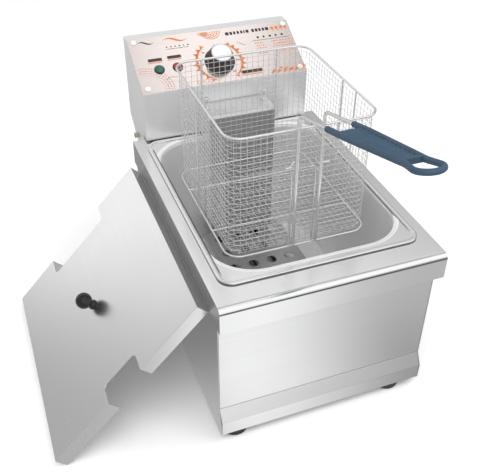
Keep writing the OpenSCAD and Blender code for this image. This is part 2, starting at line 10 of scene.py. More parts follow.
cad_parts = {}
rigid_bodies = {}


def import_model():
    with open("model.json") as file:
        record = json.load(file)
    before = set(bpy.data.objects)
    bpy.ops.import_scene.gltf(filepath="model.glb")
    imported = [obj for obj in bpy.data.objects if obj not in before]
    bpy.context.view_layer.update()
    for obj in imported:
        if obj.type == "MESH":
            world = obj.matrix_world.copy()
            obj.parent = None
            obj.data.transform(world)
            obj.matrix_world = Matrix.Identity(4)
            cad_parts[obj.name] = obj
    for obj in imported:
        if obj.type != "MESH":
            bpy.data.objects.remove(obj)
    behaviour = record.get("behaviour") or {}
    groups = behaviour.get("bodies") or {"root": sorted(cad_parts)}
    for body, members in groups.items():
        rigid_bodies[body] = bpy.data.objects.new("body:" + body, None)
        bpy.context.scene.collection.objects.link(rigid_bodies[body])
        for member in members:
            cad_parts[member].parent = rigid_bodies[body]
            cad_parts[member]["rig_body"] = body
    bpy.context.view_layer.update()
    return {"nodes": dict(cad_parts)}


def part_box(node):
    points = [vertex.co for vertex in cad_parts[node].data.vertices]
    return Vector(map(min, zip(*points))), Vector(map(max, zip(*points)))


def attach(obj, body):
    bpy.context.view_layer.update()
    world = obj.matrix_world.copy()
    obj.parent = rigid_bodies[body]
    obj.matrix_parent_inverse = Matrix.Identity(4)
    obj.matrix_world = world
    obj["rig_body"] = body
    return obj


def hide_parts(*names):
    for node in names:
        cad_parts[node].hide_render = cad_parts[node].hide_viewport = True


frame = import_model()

MM = 0.001
SCENE = bpy.context.scene
Y_AXIS, Z_AXIS = Vector((0, 1, 0)), Vector((0, 0, 1))

# The design's own millimetres are measured from the worktop's centre.
_lo, _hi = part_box("worktop")
OX, OY = (_lo.x + _hi.x) / 2, (_lo.y + _hi.y) / 2
DECK = _hi.z / MM


def V(x, y, z):
    """Point of the design, in millimetres from the worktop's centre, in the frame's metres."""
    return Vector((OX + x * MM, OY + y * MM, z * MM))


# Control panel: its slope, the lower edge of its face, and the face's length.
SLOPE = math.radians(29)
SLOPE_Y, SLOPE_Z, SLOPE_L = 178.2, DECK + 73.0, 93.6


def S(u, v, w=0.0):
    """Point on the control panel: u along it, v up the slope, w outward, in millimetres."""
    c, s = math.cos(SLOPE), math.sin(SLOPE)
    return V(u, SLOPE_Y + v * c - w * s, SLOPE_Z + v * s + w * c)


# Lid: its lean, length, flange height, and the corner that its own millimetres start from.
LEAN = math.radians(43.6)
LID_L, LID_H, LID_Y = 262.0, 17.7, -150.5
LID_X = -140 - 0.2 - LID_H * math.cos(LEAN)
LID_Z = LID_L * math.cos(LEAN) + LID_H * math.sin(LEAN) + 0.1


def L(x, y, z=0.0):
    """Point of the lid: x from its upper edge, y along the body, z outward, in millimetres."""
    c, s = math.cos(LEAN), math.sin(LEAN)
    return V(LID_X + x * s - z * c, LID_Y + y, LID_Z + x * c + z * s)


# Basket: its middle and base, half its width and depth, its corners and its rim.
BX, BY, BZ = 2.3, 26.8, 194.0
BASKET_X, BASKET_Y, BASKET_R = 92.75, 105.0, 20
RIM_Z = 357.0

# Handle: its rise, the radius and start of its bend, its middle and half the wires' distance.
HANDLE_A = math.radians(15.1)
BEND_R, BEND_Z = 9.0, RIM_Z + 11
HANDLE_X, HANDLE_S = 6.0, 15.0
LEG_Y = BY - BASKET_Y - 3.55
HANDLE_Y = LEG_Y - BEND_R + BEND_R * math.sin(HANDLE_A)
HANDLE_Z = BEND_Z + BEND_R * math.cos(HANDLE_A)


def H(x, s, h=0.0):
    """Point of the handle: x across it, s out from the bend, h above it, in millimetres."""
    c, n = math.cos(HANDLE_A), math.sin(HANDLE_A)
    return V(HANDLE_X + x, HANDLE_Y - s * c + h * n, HANDLE_Z + s * n + h * c)


def sweep(a0, a1, n):
    """n + 1 even steps from a0 to a1 degrees, in radians."""
    return [math.radians(a0 + (a1 - a0) * i / n) for i in range(n + 1)]


# ---- camera
def make_camera():
    """Camera fitted to the photo's straight edges."""
    data = bpy.data.cameras.new("camera")
    cam = bpy.data.objects.new("camera", data)
    SCENE.collection.objects.link(cam)
    right, up, back = ((0.931866, -0.362445, 0.016089), (0.208485, 0.571265, 0.793846),
                       (-0.296916, -0.736404, 0.607907))
    m = Matrix((right, up, back)).transposed().to_4x4()
    m.translation = V(-316.503, -725.462, 750.174)
    cam.matrix_world = m
    data.sensor_width = 36
    data.lens = 53.07
    data.shift_x = -0.01268
    data.shift_y = 0.00567
    data.clip_start = 0.01
    data.clip_end = 50
    data.dof.use_dof = False
    SCENE.camera = cam


make_camera()


# ---- materials
class Nodes:
    """Small helper round the node tree of a material or the world."""

    def __init__(self, tree):
        self.tree = tree
        self.coord = tree.nodes.new("ShaderNodeTexCoord")

    def put(self, node, sockets):
        """Links a socket's input, or sets its value."""
        for key, value in sockets.items():
            if isinstance(value, bpy.types.NodeSocket):
                self.tree.links.new(value, node.inputs[key])
            else:
                node.inputs[key].default_value = value

    def new(self, kind, sockets, **settings):
        node = self.tree.nodes.new("ShaderNode" + kind)
        for key, value in settings.items():
            setattr(node, key, value)
        self.put(node, sockets)
        return node

    def ramp(self, value, a, b, lo=0.0, hi=1.0, soft=True):
        """Maps a..b to lo..hi and holds the ends."""
        kind = "SMOOTHSTEP" if soft else "LINEAR"
        ends = {"Value": value, "From Min": a, "From Max": b, "To Min": lo, "To Max": hi}
        return self.new("MapRange", ends, interpolation_type=kind).outputs["Result"]

    def math(self, kind, a, b):
        return self.new("Math", {0: a, 1: b}, operation=kind).outputs[0]


class Finish(Nodes):
    """A new material, built round its Principled shader."""

    def __init__(self, name, **values):
        self.mat = bpy.data.materials.new(name)
        self.mat.use_nodes = True
        super().__init__(self.mat.node_tree)
        self.bsdf = next(n for n in self.tree.nodes if n.type == "BSDF_PRINCIPLED")
        self.shade(**values)

    def shade(self, **values):
        """Sets or links the shader's sockets; _ stands for a space in a socket's name."""
        self.put(self.bsdf, {key.replace("_", " "): value for key, value in values.items()})

    def noise(self, scale, stretch=(1, 1, 1), detail=3.0, rough=0.5, seed=0.0):
        mapping = self.new("Mapping", {
            "Scale": stretch, "Location": (seed, seed * 0.7, seed * 1.3),
            "Vector": self.coord.outputs["Object"]})
        return self.new("TexNoise", {
            "Scale": scale, "Detail": detail, "Roughness": rough,
            "Vector": mapping.outputs["Vector"]}).outputs["Fac"]

    def span(self, fac, lo, hi, a=0.3, b=0.7):
        """Spreads the middle of a noise over lo..hi."""
        return self.ramp(fac, a, b, lo, hi, soft=False)

    def mix(self, fac, a, b):
        """Mix of two colours, each an RGB tuple or a socket."""
        a, b = ((*c, 1) if isinstance(c, tuple) else c for c in (a, b))
        return self.new("Mix", {0: fac, 6: a, 7: b}, data_type="RGBA").outputs[2]

    def bump(self, height, strength, distance):
        node = self.new("Bump", {"Strength": strength, "Distance": distance, "Height": height})
        self.shade(Normal=node.outputs["Normal"])


def steel(name, tone, rough, brush="x", streak=0.02, cloud=0.03, tint=(1, 1, 1), bump=0.0015,
          seed=0.0, metal=1.0):
    """Polished stainless steel: long faint brush streaks and cloudy handling marks."""
    n = Finish(name, Metallic=metal)
    along, across = 3, 420
    stretch = tuple(along if axis == brush else across for axis in "xyz")
    fine = n.noise(1.0, stretch, seed=seed)
    broad = n.noise(1.0, tuple(s * 0.2 for s in stretch), seed=seed + 3)
    clouds = n.noise(7, seed=seed + 5)
    base = tuple(tone * t for t in tint)
    dark = tuple(b * (1 - streak) for b in base)
    streaks = [n.mix(n.span(fac, 0, 1), dark, base) for fac in (fine, broad)]
    marks = tuple(b * (1 - cloud) for b in base)
    n.shade(Base_Color=n.mix(n.span(clouds, 0, 1), n.mix(0.5, *streaks), marks),
            Roughness=n.math("ADD", n.span(fine, rough - 0.012, rough + 0.012),
                             n.span(clouds, -0.012, 0.02)))
    n.bump(n.math("ADD", fine, n.math("MULTIPLY", broad, 2.0)), bump, 0.0002)
    return n.mat


def plastic(name, colour, rough, grain=900.0, vary=0.12, bump=0.06, coat=0.0, seed=0.0, spec=0.5):
    """Moulded plastic or rubber: fine grain, faint flow marks, scuffs in the gloss."""
    n = Finish(name, Metallic=0.0, Specular_IOR_Level=spec, Coat_Weight=coat, Coat_Roughness=0.08)
    grainy = n.noise(grain, detail=2, seed=seed)
    flow = n.noise(38, (1, 1.6, 1), 4, 0.6, seed + 2)
    dark = tuple(c * (1 - vary) for c in colour)
    light = tuple(min(1, c * (1 + vary) + 0.004) for c in colour)
    n.shade(Base_Color=n.mix(n.span(flow, 0, 1), dark, light),
            Roughness=n.math("ADD", n.span(grainy, rough - 0.04, rough + 0.04),
                             n.span(flow, -0.03, 0.05)))
    n.bump(grainy, bump, 0.0001)
    return n.mat


def ink(name, colour, rough=0.42, seed=0.0):
    """Screen-printed ink with slightly uneven cover."""
    n = Finish(name, Metallic=0.0)
    cover = n.noise(420, rough=0.6, seed=seed)
    thin = tuple(min(1, c * 0.85 + 0.05) for c in colour)
    n.shade(Base_Color=n.mix(n.span(cover, 0.0, 0.35, 0.45, 0.8), colour, thin),
            Roughness=n.span(cover, rough - 0.06, rough + 0.06))
    n.bump(cover, 0.05, 0.00005)
    return n.mat


def printed_plate():
    """Brushed aluminium plate with a milky lacquer."""
    n = Finish("printed_plate", Metallic=0.88, Coat_Weight=0.05, Coat_Roughness=0.2)
    fine = n.noise(1.0, (10, 800, 800), 3, 0.6, 31)
    clouds = n.noise(16, seed=32)
    base = n.mix(n.span(fine, 0, 1), (0.82, 0.735, 0.70), (0.86, 0.775, 0.745))
    n.shade(Base_Color=n.mix(n.span(clouds, 0, 0.5), base, (0.82, 0.72, 0.68)),
            Roughness=n.span(fine, 0.15, 0.20))
    n.bump(fine, 0.02, 0.0001)
    return n.mat


M = {
    "deck": steel("steel_deck", 0.94, 0.20, "x", 0.012, 0.02, seed=1),
    "tank": steel("steel_tank", 0.94, 0.40, "z", 0.015, 0.03, seed=2, metal=0.50),
    # darker copy of the body's steel: painted shade on the body's sides and base plate
    "side": steel("steel_side_painted_shade", 0.68, 0.28, "y", 0.015, 0.03, bump=0.0006, seed=3),
    "front": steel("steel_front", 0.90, 0.20, "x", 0.012, 0.02, seed=4),
    "head": steel("steel_head", 0.88, 0.30, "x", 0.012, 0.03, seed=5, metal=0.55),
    "lid": steel("steel_lid", 0.96, 0.25, "y", 0.006, 0.012, bump=0.0004, seed=6),
    "bracket": steel("steel_bracket", 0.70, 0.32, "z", 0.03, 0.05, seed=7),
    "tower": steel("steel_tower", 0.80, 0.42, seed=8, metal=0.85),
    # darker tone paints the shade inside the tank onto the guard plate
    "guard": steel("steel_guard_painted_shade", 0.60, 0.36, "y", 0.02, 0.05, seed=9),
    "wire": steel("steel_wire", 0.90, 0.18, "z", 0.04, 0.05, seed=10, metal=0.78),
    "mesh": steel("steel_mesh", 0.80, 0.28, "z", 0.03, 0.05, seed=11, metal=0.62),
    "zinc": steel("zinc_screw", 0.74, 0.30, "x", 0.08, 0.12, tint=(1, 0.99, 0.95), seed=12),
    # darker copy of the steel for faces that look one way: painted shade on the worktop's left skirt
    # and the lid's upper flange
    "shade": steel("steel_painted_shade", 0.66, 0.24, "y", 0.015, 0.03, bump=0.0006, seed=34),
    # darker copy of the tower's steel for its front faces: painted shade
    "tower_front_painted_shade": steel("steel_tower_front_painted_shade", 0.52, 0.45, "x", 0.02, 0.04, seed=35, metal=0.85),
    # near-black steel for the tank lip's outer side: a painted shadow line
    "gap": steel("steel_gap", 0.16, 0.45, "x", 0.05, 0.05, seed=33),
    "brass": steel("brass_screw", 0.62, 0.26, "x", 0.06, 0.10, tint=(1.0, 0.93, 0.76), seed=13),
    "element": steel("element_tube", 0.42, 0.38, "z", 0.08, 0.25, tint=(1, 0.97, 0.94), seed=14),
    "copper": steel("copper_bulb", 0.72, 0.30, "y", 0.06, 0.15, tint=(1.0, 0.66, 0.48), seed=15),
    "chrome": steel("knob_chrome", 0.75, 0.10, "z", 0.03, 0.04, seed=16),
    "rubber": plastic("rubber_black", (0.048, 0.033, 0.028), 0.62, 1100, 0.25, 0.15, seed=17),
    "black": plastic("plastic_black", (0.022, 0.022, 0.024), 0.34, 900, 0.2, 0.06, 0.2, 18),
    "gloss": plastic("bakelite_gloss", (0.006, 0.006, 0.007), 0.16, 700, 0.2, 0.02, 0.35, 19, 0.35),
    "grip": plastic("plastic_blue", (0.030, 0.068, 0.112), 0.42, 800, 0.10, 0.08, seed=20),
    "white": plastic("plastic_white", (0.80, 0.80, 0.79), 0.35, 900, 0.04, 0.04, seed=21),
    "ceramic": plastic("ceramic_cream", (0.74, 0.70, 0.62), 0.45, 500, 0.06, 0.05, seed=22),
    "case": plastic("case_grey", (0.12, 0.12, 0.13), 0.5, 600, 0.15, 0.05, seed=23),
    "green": plastic("lens_green", (0.010, 0.085, 0.060), 0.12, 400, 0.2, 0.02, coat=0.8, seed=24),
    "red": plastic("lens_red", (0.22, 0.030, 0.026), 0.12, 400, 0.2, 0.02, coat=0.8, seed=25),
    "cap": plastic("knob_cap_pearl", (0.72, 0.69, 0.72), 0.26, 700, 0.03, 0.02, coat=0.3, seed=26),
    "plate": printed_plate(),
}
for hue, colour, seed in (("orange", (0.60, 0.165, 0.030), 27), ("black", (0.030, 0.026, 0.026), 28),
                          ("red", (0.42, 0.085, 0.045), 29), ("grey", (0.36, 0.34, 0.34), 30)):
    M["ink_" + hue] = ink("ink_" + hue, colour, seed=seed)


# ---- mesh helpers
def add_piece(name, verts, faces, body, mat, replaces=(), smooth=40, weighted=False,
              index=None):
    """New mesh piece, riding on its body and standing for its CAD nodes.

    Edges up to smooth degrees are shaded smooth; weighted keeps the flat faces flat.
    """
    me = bpy.data.meshes.new(name)
    me.from_pydata([tuple(v) for v in verts], [], [tuple(f) for f in faces])
    for m in mat if isinstance(mat, list) else [mat]:
        me.materials.append(M[m])
    if index is not None:
        me.polygons.foreach_set("material_index", index)
    me.validate()
    if smooth:
        me.polygons.foreach_set("use_smooth", [True] * len(me.polygons))
        me.set_sharp_from_angle(angle=math.radians(smooth))
    me.update()
    ob = bpy.data.objects.new(name, me)
    SCENE.collection.objects.link(ob)
    if weighted:
        mod = ob.modifiers.new("weighted", "WEIGHTED_NORMAL")
        mod.keep_sharp = True
        mod.weight = 60
    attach(ob, body)
    if replaces:
        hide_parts(*replaces)


class Build:
    """Collects rings, lathes and tubes into one vertex and face list."""

    def __init__(self):
        self.verts, self.faces, self.index = [], [], []

    def add(self, verts, faces):
        k = len(self.verts)
        self.verts.extend(verts)
        self.faces.extend([tuple(k + i for i in f) for f in faces])

    def rings(self, rings, closed=False, caps=True):
        """Skin over rings of equal length; each ring is a closed loop of points."""
        n, m = len(rings[0]), len(rings)
        faces = []
        for j in range(m if closed else m - 1):
            a, b = j * n, ((j + 1) % m) * n
            for i in range(n):
                i2 = (i + 1) % n
                faces.append((a + i, a + i2, b + i2, b + i))
        if caps and not closed:
            faces.append(tuple(range(n))[::-1])
            faces.append(tuple(range((m - 1) * n, m * n)))
        self.add([p for ring in rings for p in ring], faces)

    def lathe(self, base, axis, profile, steps=48, wave=None):
        """Turned shape: profile is (radius, height) from base along axis, in millimetres."""
        axis = axis.normalized()
        side = axis.orthogonal().normalized()
        other = axis.cross(side)

        def point(t, r, h):
            r = max(r, 1e-3) * (1 + (wave(t, r, h) if wave else 0))
            return base + axis * (h * MM) + (side * math.cos(t) + other * math.sin(t)) * (r * MM)

        self.rings([[point(t, r, h) for t in sweep(0, 360, steps)[:-1]] for r, h in profile])

    def tube(self, path, radius, sides=12, closed=False, up=None):
        """Round wire along a path of Vectors; radius in millimetres, one or one per point."""
        n = len(path)
        pts = np.array([tuple(p) for p in path])
        if closed:
            tan = np.roll(pts, -1, 0) - np.roll(pts, 1, 0)
        else:
            tan = np.gradient(pts, axis=0)
        tan /= np.linalg.norm(tan, axis=1)[:, None]
        a = np.array(up if up is not None else Vector(tan[0]).orthogonal())
        radii = radius if isinstance(radius, list) else [radius] * n
        rings = []
        for i in range(n):
            a = a - tan[i] * float(a @ tan[i])
            a = a / np.linalg.norm(a)
            b = np.cross(tan[i], a)
            rings.append([Vector(pts[i] + (a * math.cos(t) + b * math.sin(t)) * radii[i] * MM)
                          for t in sweep(0, 360, sides)[:-1]])
        self.rings(rings, closed=closed)

    def piece(self, name, body, mat, slot=None, replaces=(), smooth=40, weighted=False):
        index = self.index if isinstance(mat, list) else None
        add_piece(name, self.verts, self.faces, body, mat, replaces, smooth, weighted, index)


def turned(name, body, mat, slot, replaces, spots, axis, profile, steps, smooth=40, wave=None):
    """Piece of equal turned shapes, one at each spot."""
    b = Build()
    for spot in spots:
        b.lathe(spot, axis, profile, steps, wave)
    b.piece(name, body, mat, slot, replaces, smooth)


FACING = 0.95


def refine(node, mat, width=0.5, segments=2, sharp=35, facing=None):
    """The CAD node's own shape with its edges eased, as folded and deburred sheet has.

    Faces that look towards facing take the second material of mat, a darker steel that paints shade
    onto that side.
    """
    src = frame["nodes"][node]
    bm = bmesh.new()
    bm.from_mesh(src.data)
    bmesh.ops.remove_doubles(bm, verts=bm.verts, dist=3e-6)
    bmesh.ops.dissolve_limit(bm, angle_limit=math.radians(0.6), verts=bm.verts, edges=bm.edges)
    edges = [e for e in bm.edges
             if len(e.link_faces) == 2 and e.calc_face_angle(0) > math.radians(sharp)]
    bmesh.ops.bevel(bm, geom=edges, offset=width * MM, offset_type="OFFSET", segments=segments,
                    profile=0.5, affect="EDGES", clamp_overlap=True)
    bmesh.ops.recalc_face_normals(bm, faces=bm.faces)
    bm.verts.index_update()
    verts = [v.co.copy() for v in bm.verts]
    faces = [[v.index for v in f.verts] for f in bm.faces]
    index = None
    # faces towards facing are marked for the darker second steel, a painted shade
    if facing:
        index = [int(f.normal.dot(Vector(facing)) > FACING) for f in bm.faces]
    bm.free()
    add_piece(node + "_part", verts, faces, src["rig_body"], mat, [node], 40,
              True, index)


def arc(cx, cy, r, a0, a1, n):
    """n + 1 points of an arc from a0 to a1 degrees."""
    return [(cx + r * math.cos(a), cy + r * math.sin(a)) for a in sweep(a0, a1, n)]


def round_rect(x0, x1, y0, y1, r, n=12, straight=6):
    """Loop of a rounded rectangle; loops of the same n and straight match point for point."""
    pts = []
    corners = [(x1 - r, y1 - r), (x0 + r, y1 - r), (x0 + r, y0 + r), (x1 - r, y0 + r)]
    arcs = [arc(cx, cy, r, 90 * k, 90 * k + 90, n) for k, (cx, cy) in enumerate(corners)]
    for k in range(4):
        pts += arcs[k]
        (ex, ey), (sx, sy) = arcs[k][-1], arcs[(k + 1) % 4][0]
        pts += [(ex + (sx - ex) * j / straight, ey + (sy - ey) * j / straight)
                for j in range(1, straight)]
    return pts


# ---- body
def make_tank():
    """Drawn basin that hangs by its flange; both sides of the sheet, from the flange's edge in."""
    mouth, flange = (-118.0, 118.0, -137.5, 164.5, 54.0), (-125.5, 125.5, -154.5, 175.0, 18.0)
    sheet, lip, lip_in, roll, foot = 1.2, 1.4, 3.4, 6.0, 9.0
    edge, side, top, floor = DECK + 0.3, DECK + 1.6, DECK + 1.5, DECK - 182.0
    flange_bands = 15

    def loop(shape, inset, z):
        x0, x1, y0, y1, r = shape
        line = round_rect(x0 + inset, x1 - inset, y0 + inset, y1 - inset, r - inset)
        return [V(x, y, z) for x, y in line]

    inner = [loop(flange, 0.0, edge), loop(flange, 0.0, side)]
    inner += [loop(flange, lip - lip * math.cos(a), side + lip * math.sin(a))
              for a in sweep(0, 90, 5)[1:]]
    inner += [loop(flange, lip_in + lip * math.sin(a), side + lip * math.cos(a))
              for a in sweep(0, 90, 5)]
    inner += [loop(flange, 5.5, top), loop(flange, 6.6, top), loop(mouth, -roll - 1.0, top)]
    inner += [loop(mouth, roll * math.sin(a) - roll, top - roll + roll * math.cos(a))
              for a in sweep(0, 90, 8)]
    inner += [loop(mouth, 0.0, z) for z in (DECK - 40, DECK - 90, DECK - 140, floor + foot + 8)]
    inner += [loop(mouth, foot - foot * math.cos(a), floor + foot - foot * math.sin(a))
              for a in sweep(0, 90, 8)]
    inner += [loop(mouth, 30.0, floor), loop(mouth, 50.0, floor)]
    # Underside: the same shape one sheet outside.
    out = foot + sheet
    outer = [loop(mouth, 50.0, floor - sheet), loop(mouth, 30.0, floor - sheet)]
    outer += [loop(mouth, foot - out * math.cos(a), floor + foot - out * math.sin(a))
              for a in sweep(90, 0, 8)]
    outer += [loop(mouth, -sheet, DECK - 20), loop(mouth, -sheet, edge)]
    b = Build()
    b.rings(inner, caps=False)
    b.rings(outer, caps=False)
    # Floor, bottom and the flange's underside close the sheet.
    n = len(inner[0])
    first_out, end = len(inner) * n, len(b.verts)
    b.faces.append(tuple(range(first_out - n, first_out)))
    b.faces.append(tuple(range(first_out, first_out + n))[::-1])
    b.faces += [(end - n + i, end - n + (i + 1) % n, (i + 1) % n, i) for i in range(n)]
    # The lip's outer side takes the near-black steel, a painted shadow line between the lip and the
    # worktop; the lip's rounding and the flange take the deck's steel.
    b.index = [1 if i < n else 2 if i < flange_bands * n else 0 for i in range(len(b.faces))]
    b.piece("tank_basin", "base", ["tank", "gap", "deck"], "steel_bright", ["tank"], 50, True)


def make_feet():
    spots = [V(x, y, 0) for x in (-115, 100) for y in (-165, 165)]
    turned("rubber_feet", "base", "rubber", "rubber_black", ["feet"], spots, Z_AXIS, [
        (5.5, 5.0), (5.5, 0.8), (5.9, 0.2), (6.6, 0.0), (13.6, 0.0), (14.6, 0.25), (15.5, 1.0),
        (15.9, 2.0), (16.0, 3.2), (15.8, 7.5), (15.6, 11.0), (15.4, 12.4), (14.6, 13.18),
        (2.75, 13.18), (2.75, 5.0), (5.5, 5.0)], 56)
    turned("foot_screw_set", "base", "zinc", "zinc", ["foot_screws"], spots, Z_AXIS, [
        (0.2, 3.0), (1.2, 3.0), (1.25, 2.45), (3.2, 2.5), (4.2, 3.0), (4.5, 3.8), (4.5, 4.95),
        (2.45, 4.95), (2.45, 19.6), (2.0, 20.0), (0.2, 20.0)], 32)


def make_thumb_screws():
    def knurl(t, r, h):
        return 0.05 * math.cos(22 * t) if r > 3.8 and 1.6 < h < 6.1 else 0

    b = Build()
    pivot_x, pivot_y, pivot_z = 122.1, 229.5, DECK - 14
    for s in (-1, 1):
        b.lathe(V(s * pivot_x, pivot_y, pivot_z), Vector((s, 0, 0)), [
            (0.1, -10), (2.6, -10), (3.0, -9.6), (3.0, 0.05), (3.8, 0.05), (3.9, 0.5), (3.4, 0.8),
            (3.4, 1.4), (3.85, 1.6), (3.9, 1.8), (3.9, 5.8), (3.85, 6.0), (3.5, 6.4), (2.0, 6.65),
            (0.1, 6.7)], 132, knurl)
    b.piece("thumb_screws", "base", "brass", "brass", ["pivot_screws"], 35)


def make_bracket_screws():
    spots = [V(x, 188.5, DECK - 22) for x in (-108, -98, 98, 108)]
    turned("bracket_screw_set", "base", "zinc", "zinc", ["bracket_screws"], spots, Y_AXIS, [
        (0.1, -13.2), (1.5, -13.2), (2.0, -12.4), (2.0, 0.6), (1.95, 1.9), (1.7, 2.0), (0.35, 2.0),
        (0.3, 1.4), (0.1, 1.4)], 28)


# Left-facing faces of the worktop take the darker second steel: painted shade on its left skirt.
refine("worktop", ["deck", "shade"], 0.7, 3, facing=(-1, 0, 0))
make_tank()
# The body's sides take the darker copy of the steel: painted shade.
refine("body_wrap", "side", 0.35)
refine("front_panel", "front", 0.3)
refine("front_plinth", "front", 0.3, sharp=18)
# The base plate takes the same darker steel: painted shade.
refine("base_plate", "side", 0.3)
refine("hinge_brackets", "bracket", 0.4)
make_feet()
make_thumb_screws()
make_bracket_screws()

# ---- head
refine("head_shell", "head", 0.8, 3, 20)
refine("head_back_cover", "head", 0.4, sharp=20)
refine("head_seal", "rubber", 0.25)
refine("control_plate", "plate", 0.2)
refine("thermostat", "case", 0.8)
refine("terminal_block", "ceramic", 1.2, 3)
# The tower's front faces take the darker second steel: painted shade.
refine("tower", ["tower", "tower_front_painted_shade"], 0.35, facing=(0, -1, 0))


# Middle of the dial, and the lamps' places beside it, on the panel.
DIAL_U, DIAL_V = -1.0, 37.0
LAMPS_U = (-89, -62.6)
OUTWARD = (S(0, 0, 1) - S(0, 0, 0)).normalized()


def make_panel_screws():
    spots = [S(u, v) for u in (-113, 113) for v in (7.5, SLOPE_L - 6.5)]
    turned("panel_screw_caps", "head", "white", "white_plastic", ["panel_screws"], spots, OUTWARD, [
        (0.1, -7), (1.7, -7), (2.0, -6.6), (2.0, 1.1), (4.1, 1.1), (4.25, 1.35), (4.15, 1.9),
        (3.7, 2.6), (2.9, 3.1), (1.8, 3.42), (0.8, 3.5), (0.1, 3.5)], 36, 50)


def make_lamps():
    def facet(t, r, h):
        return 0.03 * math.cos(12 * t) if 1.0 < r < 4.4 and h > 3 else 0

    spots = [S(u, DIAL_V) for u in LAMPS_U]
    turned("lamp_bezel_rings", "head", "black", "black_plastic", ["lamp_bezels"], spots, OUTWARD, [
        (4.65, -16), (5.2, -16), (5.2, 1.1), (7.2, 1.1), (7.4, 1.4), (7.35, 2.0), (7.0, 2.55),
        (6.6, 2.7), (6.5, 2.65), (6.4, 2.3), (4.65, 2.1), (4.65, -16)], 48)
    for spot, hue in zip(spots, ("green", "red")):
        turned("lens_" + hue, "head", hue, hue + "_lens", ["lamp_" + hue], [spot], OUTWARD, [
            (0.1, -8), (4.3, -8), (4.5, -7.8), (4.5, 2.76), (6.3, 2.78), (6.35, 3.1), (6.1, 3.6),
            (5.6, 4.1), (4.8, 4.45), (3.8, 4.65), (2.4, 4.72), (1.2, 4.75), (0.1, 4.75)],
            60, 60, facet)


def make_gland():
    def hexagon(t, r, h):
        """Turns the nut's round section into six flats."""
        if 2.4 < h < 7.4 and r > 8.8:
            k = (t % (math.pi / 3)) - math.pi / 6
            return math.cos(math.pi / 6) / math.cos(k) - 1
        return 0

    spot = V(70, 279.0, DECK + 20)
    turned("cable_gland_nut", "head", "black", "black_plastic", ["cable_gland"], [spot], Y_AXIS, [
        (4.05, -9.9), (5.7, -9.9), (6.0, -9.4), (6.0, 0.12), (9.7, 0.12), (10.0, 0.5), (10.0, 2.0),
        (9.5, 2.3), (9.9, 2.6), (10.0, 2.8), (10.0, 7.0), (9.8, 7.3), (8.4, 7.6), (8.4, 8.4),
        (8.2, 9.8), (7.6, 11.2), (6.6, 12.4), (5.4, 12.95), (4.3, 13.0), (4.05, 12.7),
        (4.05, -9.9)], 72, 30, hexagon)


def make_posts():
    spots = [V(x, 162.2, DECK + 47) for x in (-38.2, 47)]
    turned("hanging_posts", "head", "wire", "steel_bright", ["hang_posts"], spots, Z_AXIS, [
        (0.1, 0.06), (4.2, 0.06), (4.55, 0.4), (4.6, 1.0), (4.6, 16.2), (4.4, 16.9), (3.8, 17.4),
        (3.2, 17.5), (2.2, 17.5), (1.9, 17.2), (1.8, 13.0), (0.1, 12.9)], 40)


def make_elements():
    """Three hairpin tubes, down the tower's front and along the tank."""
    b = Build()
    xs = (-34, -18, -3, 13, 28, 44)
    tube_y, tube_z, bend = 149.5, DECK - 162, 8
    side = [(192.0, DECK + 27), (170.0, DECK + 27)]
    side += [(tube_y + bend - bend * math.sin(t), DECK + 27 - bend + bend * math.cos(t))
             for t in sweep(0, 90, 8)]
    side += [(tube_y, DECK - 50), (tube_y, DECK - 110)]
    side += [(tube_y - bend + bend * math.cos(t), tube_z + bend - bend * math.sin(t))
             for t in sweep(0, 90, 8)]
    side += [(y, tube_z) for y in (60, 0, -60, -80)]
    for a, c in zip(xs[::2], xs[1::2]):
        mid, half = (a + c) / 2, (c - a) / 2
        path = [V(a, y, z) for y, z in side]
        path += [V(mid - half * math.cos(t), -86 - half * math.sin(t), tube_z)
                 for t in sweep(0, 180, 12)]
        path += [V(c, y, z) for y, z in side[::-1]]
        b.tube(path, 3.2, 14)
    b.piece("element_tubes", "head", "element", "element_steel", ["heating_element"], 50)


def make_bulb():
    """Temperature bulb with its thin tube up the tower."""
    b = Build()
    x, z, wall = 5, DECK - 154.5, 149.5
    b.lathe(V(x, -20, z), Y_AXIS, [
        (0.1, 0), (1.6, 0.2), (2.3, 0.9), (2.6, 2.0), (2.6, 97.5), (2.2, 99.0), (1.4, 100.0),
        (0.1, 100.0)], 28)
    side = [(79, z), (110, z), (140, z)]
    side += [(wall - 3.5 + 3.5 * math.sin(t), z + 3.5 - 3.5 * math.cos(t)) for t in sweep(0, 90, 6)]
    side += [(wall, DECK - 80), (wall, DECK), (wall, DECK + 28)]
    side += [(wall + 4 - 4 * math.cos(t), DECK + 30 + 4 * math.sin(t)) for t in sweep(0, 90, 6)]
    side += [(y, DECK + 34) for y in (170, 190, 208)]
    b.tube([V(x, y, z) for y, z in side], 1.0, 10)
    b.piece("sensor_tube", "head", "copper", "copper", ["sensor_bulb"], 50)


# ---- print on the control plate
INK_FOOT, INK_TOP, FIGURE_Z = 1.06, 1.13, 1.10


